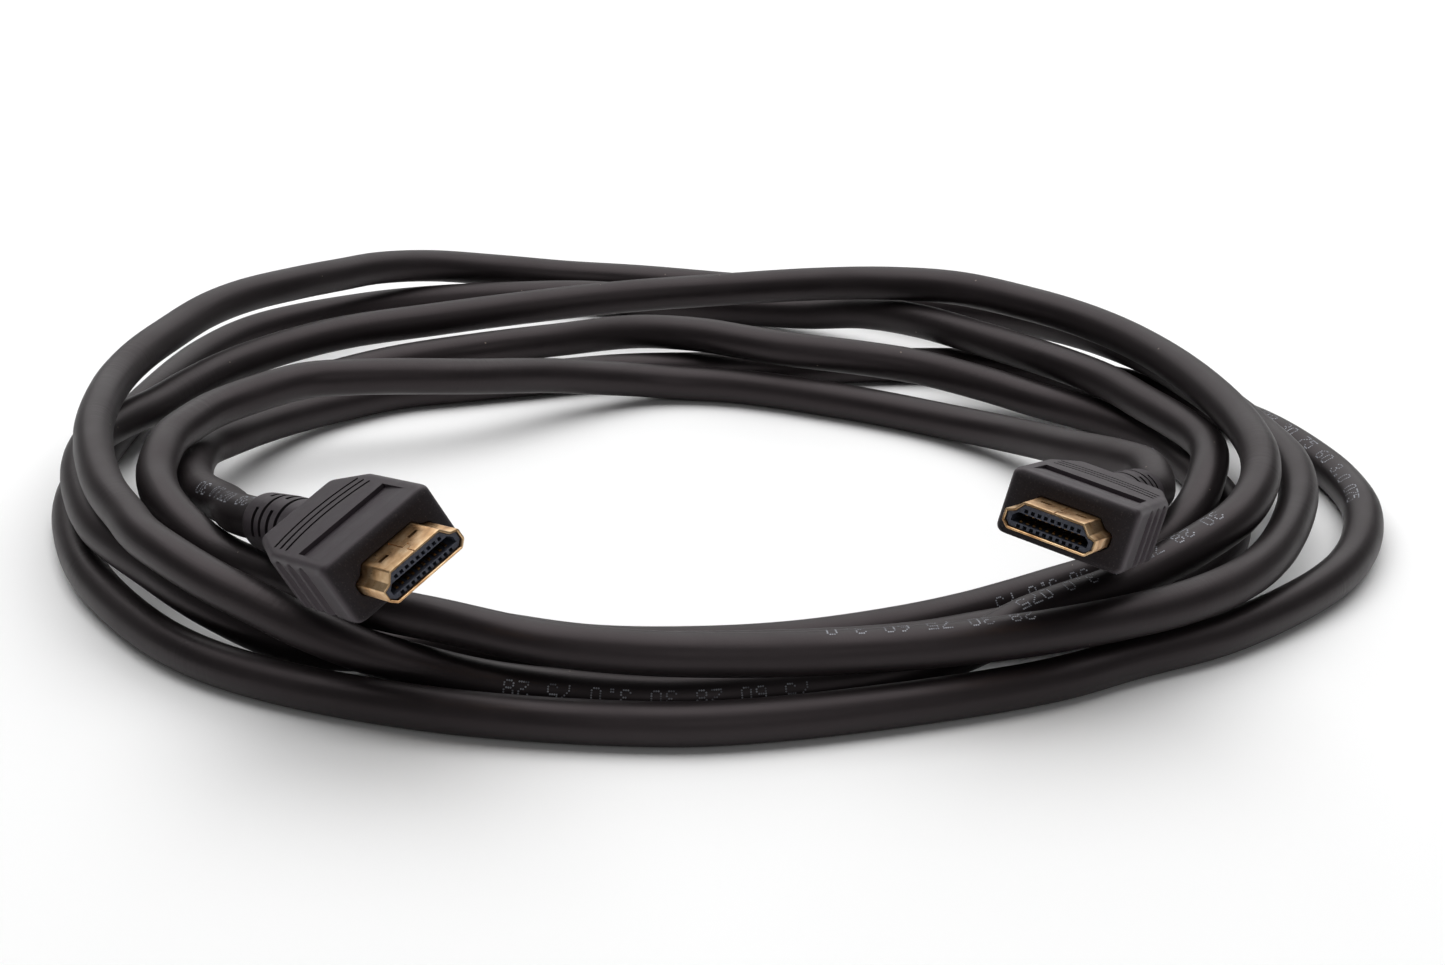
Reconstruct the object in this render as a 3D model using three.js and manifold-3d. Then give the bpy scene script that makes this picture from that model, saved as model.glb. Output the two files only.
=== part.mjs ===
// HDMI cable: two moulded plugs on about 3 m of round black cable, lying in five and a half
// loose turns on the surface z = 0. Millimetres, +Z up. The plugs face -Y.
import * as THREE from 'three';
import { mergeVertices } from 'three/addons/utils/BufferGeometryUtils.js';
import Module from 'manifold-3d';

const wasm = await Module();
wasm.setup();

// Cable
const cableDiameter = 6.7;
const cableSides = 8;
const cableStep = 15.6;       // length of one straight facet, a little over two diameters
const straightExit = 12;      // the cable leaves each plug straight for this long

// Moulded plug body; it is measured from the middle of its front face's lower edge,
// x forward out of the plug, y across, z up
const bodyWidth = 20;
const bodyHeight = 10;
const bodyStraight = 18.6;    // length of the parallel sides
const bodyLength = 27.5;      // front face to the end of the shoulders
const shoulderWidth = 14.2;   // across the end of the shoulders
const bodyEdge = 0.9;         // rounding of the long edges
const cornerRadius = 1.6;     // rounding of the outline's corners

// Strain relief, one moulding with the body
const reliefLength = 16.5;
const reliefRadius = 4.9;
const reliefEndRadius = 4.55;
const slotWidth = 1.0;
const slotPitch = 2.9;
const slotDepth = 1.1;
const slotStart = 3.1;        // shoulders to the first slot's centre
const slotRows = 4;

// Grips and marks of the moulding
const gripPitch = 4;
const gripStart = 8;          // front face to the first grip
const gripCount = 3;
const gripRadius = 1.5;
const gripDepth = 0.9;
const gripTopMargin = 1.2;
const rampStart = 4.2;        // the sloped recess of the top face runs from here
const rampEnd = 11;           // to the step here
const rampDepth = 0.6;
const markHalfWidth = 8;
const ribStart = 15.6;
const ribPitch = 2;
const ribCount = 3;
const ribWidth = 0.6;
const ribDepth = 0.5;
const ribBulge = 1.5;

// Gold shell
const shellWidth = 13.9;
const shellHeight = 4.45;
const shellTopWidth = 9.2;    // the narrow side, above the keyed corners
const shellSideHeight = 2.7;
const shellKeyHeight = 3.1;
const shellKeyInset = 1.25;
const shellWall = 0.35;
const shellReach = 8.5;       // out of the body's front face
const shellDepth = 9;         // into the body
const shellRise = 2.6;        // body's lower face to the shell's
const latchWidth = 1.8;
const latchLength = 0.8;
const latchOffset = 2.7;
const latchSetback = 5;       // shell's tip to the holes' centre

// Insulator and contacts inside the shell
const insulatorSetback = 0.5; // shell's tip to the insulator's face
const slotHeight = 1.5;       // the space that takes the socket's tongue
const tongueWidth = 10.4;
const tongueDepth = 6.5;
const tongueMiddle = 1.95;    // shell's lower face to the middle of that space
const pinPitch = 1;
const pinHole = 0.46;
const pinHoleDepth = 1.2;
const pinHoleOffset = 1.22;   // middle of the tongue space to the middle of a row of pin holes
const upperPins = 9;
const lowerPins = 10;
const contactWidth = 0.42;
const contactThickness = 0.22;
const contactSetback = 0.9;   // insulator's face to the contacts' tips
const barLength = 0.8;        // the strip that joins a row at its back

const gap = 0.3;              // clearance between the moulding, the cable and what they hold
const fineGap = 0.15;         // clearance of the insulator in the shell and of the contacts

// Where each plug lies: the middle of its front face's lower edge, and its turn in degrees
const plugA = { at: [-43, -94.2, 27.3], yaw: -55.2, pitch: -14.7, roll: 25 };
const plugB = { at: [48, -81.6, 25.7], yaw: -114.4, pitch: -17.7, roll: -10 };

// Route of the cable's middle from plug A to plug B, without the two straight ends
const route = [
  [-80.5, -39, 14], [-87, -28.5, 11.8], [-91, -16, 9.5], [-92, -1, 7.6], [-89, 6, 6.8], [-83.5, 17, 5.2],
  [-74.5, 28, 3.9], [-62.5, 36.5, 3.5], [-51, 40, 3.4], [-39.5, 43, 3.4], [-20, 48, 3.4], [0, 49, 3.4],
  [16, 49.5, 3.4], [32, 51, 3.4], [49, 51, 3.4], [64, 47.5, 3.4], [79, 39.5, 3.4], [91, 30, 3.4],
  [101, 18, 3.4], [108, 1, 3.4], [110, -9, 3.4], [110, -19, 3.4], [106, -33, 3.4], [98, -46, 3.4],
  [79, -63, 3.4], [62, -72, 3.4], [50, -78.5, 3.4], [31, -85, 3.4], [5, -91, 3.4], [-10, -92, 3.4],
  [-41, -88, 3.4], [-69, -78, 3.4], [-85, -67, 3.4], [-102, -45, 3.4], [-110, -26, 3.4], [-113, -12, 3.4],
  [-113, 3, 3.4], [-112, 19, 3.4], [-110, 33, 3.4], [-104, 57, 3.4], [-95, 72, 3.4], [-76, 84, 3.4],
  [-60, 89, 3.4], [-43, 91, 3.5], [-28, 91, 3.6], [-4, 85.5, 3.4], [17, 78, 4.6], [29, 70, 7.6],
  [40, 58, 10], [49, 48, 10.7], [64, 33, 10.8], [72, 23, 10.8], [77, 13, 10.8], [81, 5, 10.8],
  [84, -2, 10.7], [85, -8, 10.6], [83, -18, 10], [79, -27, 7.6], [71, -36, 4.8], [62, -42.5, 3.6],
  [53, -48, 3.4], [45, -53, 3.4], [38, -57, 3.4], [28, -61.5, 3.4], [12, -66.5, 3.4], [-3, -68.5, 3.4],
  [-20, -68, 3.4], [-34, -64, 3.4], [-46, -59.5, 3.4], [-59, -53, 3.4], [-73, -44.5, 3.4], [-84, -34, 3.4],
  [-93, -20, 3.4], [-98, -6, 3.4], [-97.5, 9, 3.4], [-92, 25, 3.4], [-82, 39, 3.4], [-67, 51, 3.6],
  [-50, 58.5, 3.8], [-33, 59.5, 5.6], [-17, 54.5, 9.2], [-4, 48.5, 10.7], [4, 44.5, 10.8], [12, 41, 10.7],
  [27, 38.5, 9.7], [38, 37.5, 8.2], [50, 34, 6.2], [60, 29, 4.8], [72, 22, 3.7], [80, 12.5, 3.4],
  [84, 0, 3.4], [86.5, -10, 3.4], [87, -20, 3.4], [85, -30, 3.4], [80, -40, 3.4], [73, -48, 3.4],
  [63, -54, 3.4], [54, -58, 3.4], [47, -61, 3.5], [39, -64.5, 3.8], [31, -68.5, 4.4], [21, -72, 5.2],
  [10, -75, 6.2], [0, -77, 7], [-11, -77.5, 7.2], [-26, -75.5, 6.2], [-42, -71.5, 4.6], [-55, -70.5, 4],
  [-66, -69.5, 5], [-79, -63.5, 8], [-90, -54, 10], [-101, -41, 10.5], [-108, -25, 10.5], [-111, -12, 10.5],
  [-111, -2, 10.5], [-109, 6, 9.8], [-105, 16, 8.8], [-101, 27, 8.3], [-95, 38, 8.2], [-86, 48.5, 8.2],
  [-75, 57, 8.2], [-59, 64, 8.2], [-42, 70.5, 8.3], [-21, 75, 9.2], [0, 75, 10.8], [19, 71, 13.4],
  [34, 64, 16], [47, 57, 17.4], [60, 49, 17], [68, 42, 16.8], [75, 33, 16.7], [80.5, 23, 16.6],
  [85, 11, 16.6], [88.5, -3, 16.6], [90, -14, 16.6], [90, -25, 16.5], [87.5, -36, 15.9], [82.5, -45, 14.6],
  [75, -51.5, 12.7], [67, -56.5, 10.8], [60, -60.5, 9.4], [53, -64, 8.7], [46, -68, 8], [39, -72.5, 6.4],
  [31, -76, 4.7], [22, -79, 3.7], [12, -81.5, 3.6], [-8, -84, 3.4], [-24, -83, 3.9], [-34, -82, 4.6],
  [-44, -80, 6], [-54, -79, 8.8], [-62, -77.5, 11.6], [-70, -74, 14], [-77, -70, 15.6], [-84, -64.5, 17],
  [-90, -58, 17.6], [-94, -51, 17.7], [-99, -42, 17.7], [-103, -32, 17.7], [-106, -22, 17.7], [-108, -12, 17.7],
  [-109, 5, 17.7], [-107.5, 19, 17.6], [-104.5, 31, 17.4], [-100, 45, 17.1], [-94.5, 55, 16.6], [-86, 66, 15.4],
  [-79, 75, 14], [-72, 83.5, 12.6], [-62, 92.5, 10], [-49, 98.5, 7], [-34, 101.5, 4.6], [-18, 101.5, 3.6],
  [0, 97.5, 3.4], [21, 91, 3.8], [39, 82, 5.2], [56, 70, 7.2], [70, 55, 9.3], [81, 38, 10.5],
  [88, 23, 10.5], [93, 8, 10.5], [96, -3, 10.5], [98, -13, 10.5], [97, -25, 10.5], [93.5, -37, 10.5],
  [87, -51, 10.5], [80, -60, 10.5], [71, -67, 10.5], [60, -72.5, 10.5], [47, -77.5, 10.6], [32, -81.5, 10.7],
  [18, -84, 10.9], [3, -85.5, 11.2], [-11, -86, 11.8], [-26, -84, 12.4], [-42, -78, 13], [-55, -71.5, 12.6],
  [-70.5, -60, 12], [-78.5, -52, 11], [-85, -46, 12.4], [-91, -38, 14.4], [-94, -29.5, 15.2], [-94.5, -24, 15.9],
  [-94.5, -16, 15.9], [-92.5, -9, 15.8], [-90, -3, 15.7], [-84.5, 4, 15.7], [-76, 12, 15.5], [-68, 14.5, 15.2],
  [-59.5, 17, 14.4], [-52.5, 19.5, 13.4], [-45.5, 23, 12], [-38, 28, 10.2], [-31, 33, 8.2], [-23.5, 37, 6.2],
  [-16, 40, 4.6], [-8.5, 41, 3.6], [1.5, 40, 3.4], [11, 37, 3.4], [20.5, 33, 3.4], [30, 28.5, 3.4],
  [40, 22.5, 3.6], [50.5, 13.5, 4.8], [57, 5, 6.6], [61.5, -2.5, 8.4], [66, -9.5, 10.2], [69, -15, 11.6],
  [72, -21.5, 12.8],
];

const degrees = Math.PI / 180;

function toSolid(geometry) {
  const bare = geometry.clone();
  bare.deleteAttribute('normal');
  bare.deleteAttribute('uv');
  const merged = mergeVertices(bare, 1e-4);
  const mesh = new wasm.Mesh({
    numProp: 3,
    vertProperties: new Float32Array(merged.attributes.position.array),
    triVerts: new Uint32Array(merged.index.array),
  });
  return new wasm.Manifold(mesh);
}

function toGeometry(solid) {
  const mesh = solid.getMesh();
  const geometry = new THREE.BufferGeometry();
  geometry.setAttribute('position', new THREE.BufferAttribute(new Float32Array(mesh.vertProperties), 3));
  geometry.setIndex(new THREE.BufferAttribute(new Uint32Array(mesh.triVerts), 1));
  geometry.computeVertexNormals();
  return geometry;
}

function polygon(points) {
  const shape = new THREE.Shape();
  shape.moveTo(points[0][0], points[0][1]);
  for (const [x, y] of points.slice(1)) {
    shape.lineTo(x, y);
  }
  shape.closePath();
  return shape;
}

// Prism of a shape given in (y, z), from x = from to x = to
function alongX(shape, from, to) {
  const geometry = new THREE.ExtrudeGeometry(shape, { depth: to - from, bevelEnabled: false, curveSegments: 6 });
  geometry.applyMatrix4(new THREE.Matrix4().set(0, 0, 1, from, 1, 0, 0, 0, 0, 1, 0, 0, 0, 0, 0, 1));
  return geometry;
}

// Prism of a shape given in (x, z), from y = from to y = to
function alongY(shape, from, to) {
  const geometry = new THREE.ExtrudeGeometry(shape, { depth: to - from, bevelEnabled: false });
  geometry.applyMatrix4(new THREE.Matrix4().set(1, 0, 0, 0, 0, 0, -1, to, 0, 1, 0, 0, 0, 0, 0, 1));
  return geometry;
}

function box(x0, x1, y0, y1, z0, z1) {
  const geometry = new THREE.BoxGeometry(x1 - x0, y1 - y0, z1 - z0);
  geometry.translate((x0 + x1) / 2, (y0 + y1) / 2, (z0 + z1) / 2);
  return geometry;
}

// Closed outline with its corners rounded by short straight cuts
function rounded(points, radius) {
  const out = [];
  points.forEach((p, i) => {
    const corner = new THREE.Vector2(...p);
    const before = new THREE.Vector2(...points[(i + points.length - 1) % points.length]).sub(corner);
    const after = new THREE.Vector2(...points[(i + 1) % points.length]).sub(corner);
    const half = Math.acos(before.clone().normalize().dot(after.clone().normalize())) / 2;
    const reach = Math.min(radius / Math.tan(half), before.length() / 2, after.length() / 2);
    const a = corner.clone().add(before.setLength(reach));
    const b = corner.clone().add(after.setLength(reach));
    const curve = new THREE.QuadraticBezierCurve(a, corner, b);
    for (const q of curve.getPoints(3)) {
      out.push([q.x, q.y]);
    }
  });
  return out;
}

// Outline of the shell's section in (y, z), drawn inward by inset; z is from the shell's lower face
function shellOutline(inset) {
  const half = shellWidth / 2 - inset;
  const key = half - shellKeyInset;
  const top = shellTopWidth / 2 - inset * 0.6;
  const points = [
    [-half + 1, inset], [half - 1, inset], [half, inset + 1], [half, shellSideHeight - inset * 0.4],
    [key, shellKeyHeight - inset * 0.4], [top, shellHeight - inset], [-top, shellHeight - inset],
    [-key, shellKeyHeight - inset * 0.4], [-half, shellSideHeight - inset * 0.4], [-half, inset + 1],
  ];
  return polygon(points.map(([y, z]) => [y, z + shellRise]));
}

function bodyGeometry() {
  const half = bodyWidth / 2;
  const outline = rounded([
    [0, -half], [0, half], [-bodyStraight, half], [-bodyLength, shoulderWidth / 2],
    [-bodyLength, -shoulderWidth / 2], [-bodyStraight, -half],
  ], cornerRadius).map(([x, y]) => {
    const inX = (bodyLength / 2 - bodyEdge) / (bodyLength / 2);
    return [(x + bodyLength / 2) * inX - bodyLength / 2, y * (half - bodyEdge) / half];
  });
  const block = new THREE.ExtrudeGeometry(polygon(outline), {
    depth: bodyHeight - 2 * bodyEdge,
    bevelEnabled: true,
    bevelThickness: bodyEdge,
    bevelSize: bodyEdge,
    bevelSegments: 3,
  });
  block.translate(0, 0, bodyEdge);
  let solid = toSolid(block);

  const axis = bodyHeight / 2;
  const tail = bodyLength + reliefLength;
  const start = bodyLength - 4;
  const relief = new THREE.LatheGeometry([
    new THREE.Vector2(0, start),
    new THREE.Vector2(reliefRadius, start),
    new THREE.Vector2(reliefRadius, bodyLength + reliefLength * 0.5),
    new THREE.Vector2(reliefEndRadius, tail - 0.4),
    new THREE.Vector2(reliefEndRadius - 0.4, tail),
    new THREE.Vector2(0, tail),
  ], 24);
  relief.rotateZ(Math.PI / 2);
  relief.translate(0, 0, axis);
  solid = solid.add(toSolid(relief));

  // The relief's slots: long arcs in the odd rows, short staggered ones in the even rows
  for (let row = 0; row < slotRows; row++) {
    const back = bodyLength + slotStart + row * slotPitch;
    const spans = row % 2 === 0 ? 2 : 4;
    const opening = row % 2 === 0 ? 140 : 58;
    for (let i = 0; i < spans; i++) {
      const middle = (90 + (360 / spans) * i + (row % 2 === 0 ? 0 : 45)) * degrees;
      const sector = new THREE.Shape();
      sector.absarc(0, axis, reliefRadius + 1, middle - opening / 2 * degrees, middle + opening / 2 * degrees, false);
      sector.absarc(0, axis, reliefRadius - slotDepth, middle + opening / 2 * degrees,
        middle - opening / 2 * degrees, true);
      sector.closePath();
      solid = solid.subtract(toSolid(alongX(sector, -back - slotWidth / 2, -back + slotWidth / 2)));
    }
  }

  // Round-topped grips down both sides
  for (let i = 0; i < gripCount; i++) {
    const x = -gripStart - i * gripPitch;
    for (const side of [-1, 1]) {
      const y = side * (bodyWidth / 2 + gripRadius - gripDepth);
      const groove = new THREE.CylinderGeometry(gripRadius, gripRadius, bodyHeight, 16);
      groove.rotateX(Math.PI / 2);
      groove.translate(x, y, bodyHeight / 2 - gripTopMargin - gripRadius);
      const dome = new THREE.SphereGeometry(gripRadius, 16, 10);
      dome.rotateX(Math.PI / 2);
      dome.translate(x, y, bodyHeight - gripTopMargin - gripRadius);
      solid = solid.subtract(toSolid(groove)).subtract(toSolid(dome));
    }
  }

  // Sloped recess of the top face, ending in a step
  const ramp = polygon([[-rampStart, bodyHeight], [-rampEnd, bodyHeight - rampDepth],
    [-rampEnd, bodyHeight + 1], [-rampStart, bodyHeight + 1]]);
  solid = solid.subtract(toSolid(alongY(ramp, -markHalfWidth, markHalfWidth)));

  // Bowed grooves behind the step
  const bow = (markHalfWidth ** 2 + ribBulge ** 2) / (2 * ribBulge);
  const swing = Math.asin(markHalfWidth / bow);
  for (let i = 0; i < ribCount; i++) {
    const centre = -ribStart - i * ribPitch - ribBulge + bow;
    const arc = new THREE.Shape();
    arc.absarc(centre, 0, bow + ribWidth / 2, Math.PI - swing, Math.PI + swing, false);
    arc.absarc(centre, 0, bow - ribWidth / 2, Math.PI + swing, Math.PI - swing, true);
    arc.closePath();
    const groove = new THREE.ExtrudeGeometry(arc, { depth: ribDepth + 1, bevelEnabled: false, curveSegments: 6 });
    groove.translate(0, 0, bodyHeight - ribDepth);
    solid = solid.subtract(toSolid(groove));
  }

  // Pocket that the shell sits in
  return solid.subtract(toSolid(alongX(shellOutline(-gap), -shellDepth - gap, 1)));
}

function shellGeometry() {
  let solid = toSolid(alongX(shellOutline(0), -shellDepth, shellReach));
  solid = solid.subtract(toSolid(alongX(shellOutline(shellWall), -shellDepth - 1, shellReach + 1)));
  const x = shellReach - latchSetback;
  const top = shellRise + shellHeight;
  for (const side of [-1, 1]) {
    const y = side * latchOffset;
    const hole = box(x - latchLength / 2, x + latchLength / 2, y - latchWidth / 2, y + latchWidth / 2,
      top - shellWall - 0.5, top + 0.5);
    solid = solid.subtract(toSolid(hole));
  }
  return toGeometry(solid);
}

const insulatorFace = shellReach - insulatorSetback;
const tongueZ = shellRise + tongueMiddle;

function pinRow(count) {
  return Array.from({ length: count }, (_, i) => (i - (count - 1) / 2) * pinPitch);
}

function insulatorGeometry() {
  const inset = shellWall + fineGap;
  let solid = toSolid(alongX(shellOutline(inset), -shellDepth, insulatorFace));
  const space = box(insulatorFace - tongueDepth, insulatorFace + 1, -tongueWidth / 2, tongueWidth / 2,
    tongueZ - slotHeight / 2, tongueZ + slotHeight / 2);
  solid = solid.subtract(toSolid(space));
  for (const [count, side] of [[upperPins, 1], [lowerPins, -1]]) {
    const z = tongueZ + side * pinHoleOffset;
    for (const y of pinRow(count)) {
      const hole = box(insulatorFace - pinHoleDepth, insulatorFace + 1, y - pinHole / 2, y + pinHole / 2,
        z - pinHole / 2, z + pinHole / 2);
      solid = solid.subtract(toSolid(hole));
    }
  }
  return toGeometry(solid);
}

// One row of contacts lies along the tongue space's upper (side 1) or lower (side -1) wall
function contactGeometry(count, side) {
  const wall = tongueZ + side * (slotHeight / 2 - fineGap);
  const inner = wall - side * contactThickness;
  const low = Math.min(wall, inner);
  const high = Math.max(wall, inner);
  const back = insulatorFace - tongueDepth + fineGap;
  const row = pinRow(count);
  const reach = row[row.length - 1] + contactWidth / 2;
  let solid = toSolid(box(back, back + barLength, -reach, reach, low, high));
  for (const y of row) {
    solid = solid.add(toSolid(box(back, insulatorFace - contactSetback, y - contactWidth / 2,
      y + contactWidth / 2, low, high)));
  }
  return toGeometry(solid);
}

const jacket = { color: 0x2b292b, roughness: 0.55, metalness: 0 };
const moulding = { color: 0x2f2d2f, roughness: 0.6, metalness: 0 };
const gold = { color: 0xc9a267, roughness: 0.3, metalness: 1 };
const black = { color: 0x17181a, roughness: 0.5, metalness: 0 };

function named(name, geometry, look) {
  const mesh = new THREE.Mesh(geometry, new THREE.MeshStandardMaterial(look));
  mesh.name = name;
  return mesh;
}

function plug(label, pose) {
  const holder = new THREE.Group();
  holder.add(named(`plug_${label}_body`, toGeometry(bodyGeometry()), moulding));
  holder.add(named(`plug_${label}_shell`, shellGeometry(), gold));
  holder.add(named(`plug_${label}_insulator`, insulatorGeometry(), black));
  holder.add(named(`plug_${label}_contacts_upper`, contactGeometry(upperPins, 1), gold));
  holder.add(named(`plug_${label}_contacts_lower`, contactGeometry(lowerPins, -1), gold));
  holder.position.set(...pose.at);
  holder.rotation.set(pose.roll * degrees, pose.pitch * degrees, pose.yaw * degrees, 'ZYX');
  holder.updateMatrixWorld(true);
  return holder;
}

const group = new THREE.Group();
const holderA = plug('a', plugA);
const holderB = plug('b', plugB);
group.add(holderA, holderB);

// The cable meets each relief's end face across the gap, in line with it
function behind(holder, distance) {
  return new THREE.Vector3(-bodyLength - reliefLength - distance, 0, bodyHeight / 2).applyMatrix4(holder.matrixWorld);
}

const line = new THREE.CatmullRomCurve3([
  behind(holderA, gap),
  behind(holderA, gap + straightExit),
  ...route.map(([x, y, z]) => new THREE.Vector3(x, y, z)),
  behind(holderB, gap + straightExit),
  behind(holderB, gap),
], false, 'centripetal');
line.arcLengthDivisions = 3000;

const section = polygon(Array.from({ length: cableSides }, (_, i) => {
  const angle = ((i + 0.5) / cableSides) * 2 * Math.PI;
  return [Math.cos(angle) * cableDiameter / 2, Math.sin(angle) * cableDiameter / 2];
}));
const cable = new THREE.ExtrudeGeometry(section, {
  steps: Math.round(line.getLength() / cableStep),
  extrudePath: line,
  bevelEnabled: false,
});
group.add(named('cable', cable, jacket));

// The origin is the middle of the footprint, on the surface that the cable lies on
const bounds = new THREE.Box3().setFromObject(group, true);
const middle = bounds.getCenter(new THREE.Vector3());
group.position.set(-middle.x, -middle.y, -bounds.min.z);

export default group;
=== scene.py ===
import math
import bmesh
import bpy
import numpy as np
from mathutils import Matrix, Vector


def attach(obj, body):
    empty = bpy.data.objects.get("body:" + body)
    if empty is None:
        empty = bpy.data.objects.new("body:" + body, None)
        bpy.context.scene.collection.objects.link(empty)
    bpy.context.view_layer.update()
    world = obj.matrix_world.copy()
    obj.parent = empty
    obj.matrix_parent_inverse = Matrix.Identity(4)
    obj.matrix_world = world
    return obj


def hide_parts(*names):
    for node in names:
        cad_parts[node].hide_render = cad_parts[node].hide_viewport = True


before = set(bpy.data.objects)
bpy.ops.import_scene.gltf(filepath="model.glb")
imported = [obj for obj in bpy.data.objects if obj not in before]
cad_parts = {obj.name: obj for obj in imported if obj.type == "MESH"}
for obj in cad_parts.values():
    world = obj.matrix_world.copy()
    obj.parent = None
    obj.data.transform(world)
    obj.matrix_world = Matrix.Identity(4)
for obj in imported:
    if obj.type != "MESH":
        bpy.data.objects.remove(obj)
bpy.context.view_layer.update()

# The part's frame: the CAD model is moved by this much so that its footprint is centred
frameShift = np.array([1.4505, 0.2090, -0.0470])  # mm

# Camera, worked out from the two shells and the floor contact of the outer strands
photo = {"width": 1445, "focalPixels": 2400, "sensor": 36, "pitchDown": 24.0, "height": 0.176, "back": 0.394}
scene = bpy.context.scene
camData = bpy.data.cameras.new("camera")
camData.sensor_width = photo["sensor"]
camData.lens = photo["sensor"] * photo["focalPixels"] / photo["width"]
camData.clip_start = 0.01
camData.clip_end = 20
camera = bpy.data.objects.new("camera", camData)
camera.location = (frameShift[0] / 1000, -photo["back"] + frameShift[1] / 1000,
                   photo["height"] + frameShift[2] / 1000)
camera.rotation_euler = (math.radians(90 - photo["pitchDown"]), 0, 0)
scene.collection.objects.link(camera)
scene.camera = camera


# Colours and shader helpers
def linear(code):
    # sRGB hex to linear: v / 12.92 up to 0.04045, else ((v + 0.055) / 1.055) to the power 2.4
    values = [int(code[i:i + 2], 16) / 255 for i in (0, 2, 4)]
    return tuple(v / 12.92 if v <= 0.04045 else ((v + 0.055) / 1.055) ** 2.4 for v in values) + (1.0,)


def node(mat, kind, settings=None, links=None, **sockets):
    made = mat.node_tree.nodes.new(kind)
    for key, value in (settings or {}).items():
        setattr(made, key, value)
    for key, value in sockets.items():
        name = key.replace("_", " ")
        made.inputs[name].default_value = value
    for key, source in (links or {}).items():
        mat.node_tree.links.new(source, made.inputs[key])
    return made


def newMaterial(name):
    mat = bpy.data.materials.new(name)
    mat.use_nodes = True
    mat.node_tree.nodes.clear()
    shader = mat.node_tree.nodes.new("ShaderNodeBsdfPrincipled")
    out = mat.node_tree.nodes.new("ShaderNodeOutputMaterial")
    mat.node_tree.links.new(shader.outputs[0], out.inputs[0])
    return mat, shader


def rampOf(mat, source, stops):
    ramp = mat.node_tree.nodes.new("ShaderNodeValToRGB")
    mat.node_tree.links.new(source, ramp.inputs[0])
    while len(ramp.color_ramp.elements) < len(stops):
        ramp.color_ramp.elements.new(0.5)
    for element, (place, colour) in zip(ramp.color_ramp.elements, stops):
        element.position = place
        element.color = colour
    return ramp


def mixOf(mat, factor, first, second):
    # first where the factor is 0 and second where it is 1, each a node's output or a colour
    mix = node(mat, "ShaderNodeMix", {"data_type": "RGBA"}, {"Factor": factor})
    for socket, value in zip(mix.inputs[6:8], (first, second)):
        if isinstance(value, tuple):
            socket.default_value = value
        else:
            mat.node_tree.links.new(value, socket)
    return mix.outputs[2]


def grey(v):
    return (v, v, v, 1.0)


# Materials: a pattern scale is per millimetre on wrapMm and localMm, and per metre elsewhere
def jacketMaterial():
    # Extruded flexible PVC: near black and warm, a broad soft sheen, faint draw lines along the
    # length, hazy patches from handling and a few pale specks of dust
    mat, shader = newMaterial("extruded_pvc_jacket")
    uv = node(mat, "ShaderNodeAttribute", {"attribute_name": "wrapMm"}).outputs["Vector"]
    here = node(mat, "ShaderNodeTexCoord").outputs["Object"]
    lines = node(mat, "ShaderNodeMapping", links={"Vector": uv}, Scale=(0.03, 1.1, 1.0))
    drawn = node(mat, "ShaderNodeTexNoise", links={"Vector": lines.outputs[0]}, Scale=2.0, Detail=5.0)
    grain = node(mat, "ShaderNodeTexNoise", links={"Vector": uv}, Scale=5.5, Detail=4.0, Roughness=0.6)
    haze = node(mat, "ShaderNodeTexNoise", links={"Vector": here}, Scale=45.0, Detail=4.0, Roughness=0.6)
    dust = node(mat, "ShaderNodeTexVoronoi", {"feature": "F1"}, {"Vector": here}, Scale=420.0)
    pick = node(mat, "ShaderNodeTexNoise", links={"Vector": here}, Scale=130.0, Detail=1.0)
    base = rampOf(mat, haze.outputs[0], [(0.3, linear("120f10")), (0.7, linear("1b1718"))])
    speck = node(mat, "ShaderNodeMath", {"operation": "LESS_THAN"}, {0: dust.outputs["Distance"]})
    speck.inputs[1].default_value = 0.075
    few = node(mat, "ShaderNodeMath", {"operation": "GREATER_THAN"}, {0: pick.outputs[0]})
    few.inputs[1].default_value = 0.66
    both = node(mat, "ShaderNodeMath", {"operation": "MULTIPLY"}, {0: speck.outputs[0], 1: few.outputs[0]})
    dusty = mixOf(mat, both.outputs[0], base.outputs[0], linear("6d645b"))
    mat.node_tree.links.new(dusty, shader.inputs["Base Color"])
    rough = rampOf(mat, haze.outputs[0], [(0.3, grey(0.38)), (0.72, grey(0.54))])
    mat.node_tree.links.new(rough.outputs[0], shader.inputs["Roughness"])
    shader.inputs["Specular IOR Level"].default_value = 0.4
    shader.inputs["Specular Tint"].default_value = (1.0, 0.86, 0.89, 1.0)
    soft = node(mat, "ShaderNodeBump", links={"Height": drawn.outputs[0]}, Strength=0.10, Distance=0.00012)
    fine = node(mat, "ShaderNodeBump", links={"Height": grain.outputs[0], "Normal": soft.outputs[0]},
                Strength=0.22, Distance=0.00005)
    # wrinkles across the cable, 0.9 mm apart, only where a slow pattern along the length lets them
    across = node(mat, "ShaderNodeMapping", links={"Vector": uv}, Scale=(1.1, 0.12, 0.12))
    wrinkle = node(mat, "ShaderNodeTexNoise", links={"Vector": across.outputs[0]}, Scale=1.0, Detail=3.0)
    slow = node(mat, "ShaderNodeMapping", links={"Vector": uv}, Scale=(0.045, 0.08, 0.08))
    where = node(mat, "ShaderNodeTexNoise", links={"Vector": slow.outputs[0]}, Scale=1.0, Detail=1.0)
    allow = rampOf(mat, where.outputs[0], [(0.5, grey(0.0)), (0.66, grey(1.0))])
    kept = node(mat, "ShaderNodeMath", {"operation": "MULTIPLY"},
                {0: wrinkle.outputs[0], 1: allow.outputs[0]})
    creased = node(mat, "ShaderNodeBump", links={"Height": kept.outputs[0], "Normal": fine.outputs[0]},
                   Strength=0.35, Distance=0.0002)
    mat.node_tree.links.new(creased.outputs[0], shader.inputs["Normal"])
    return mat


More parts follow.
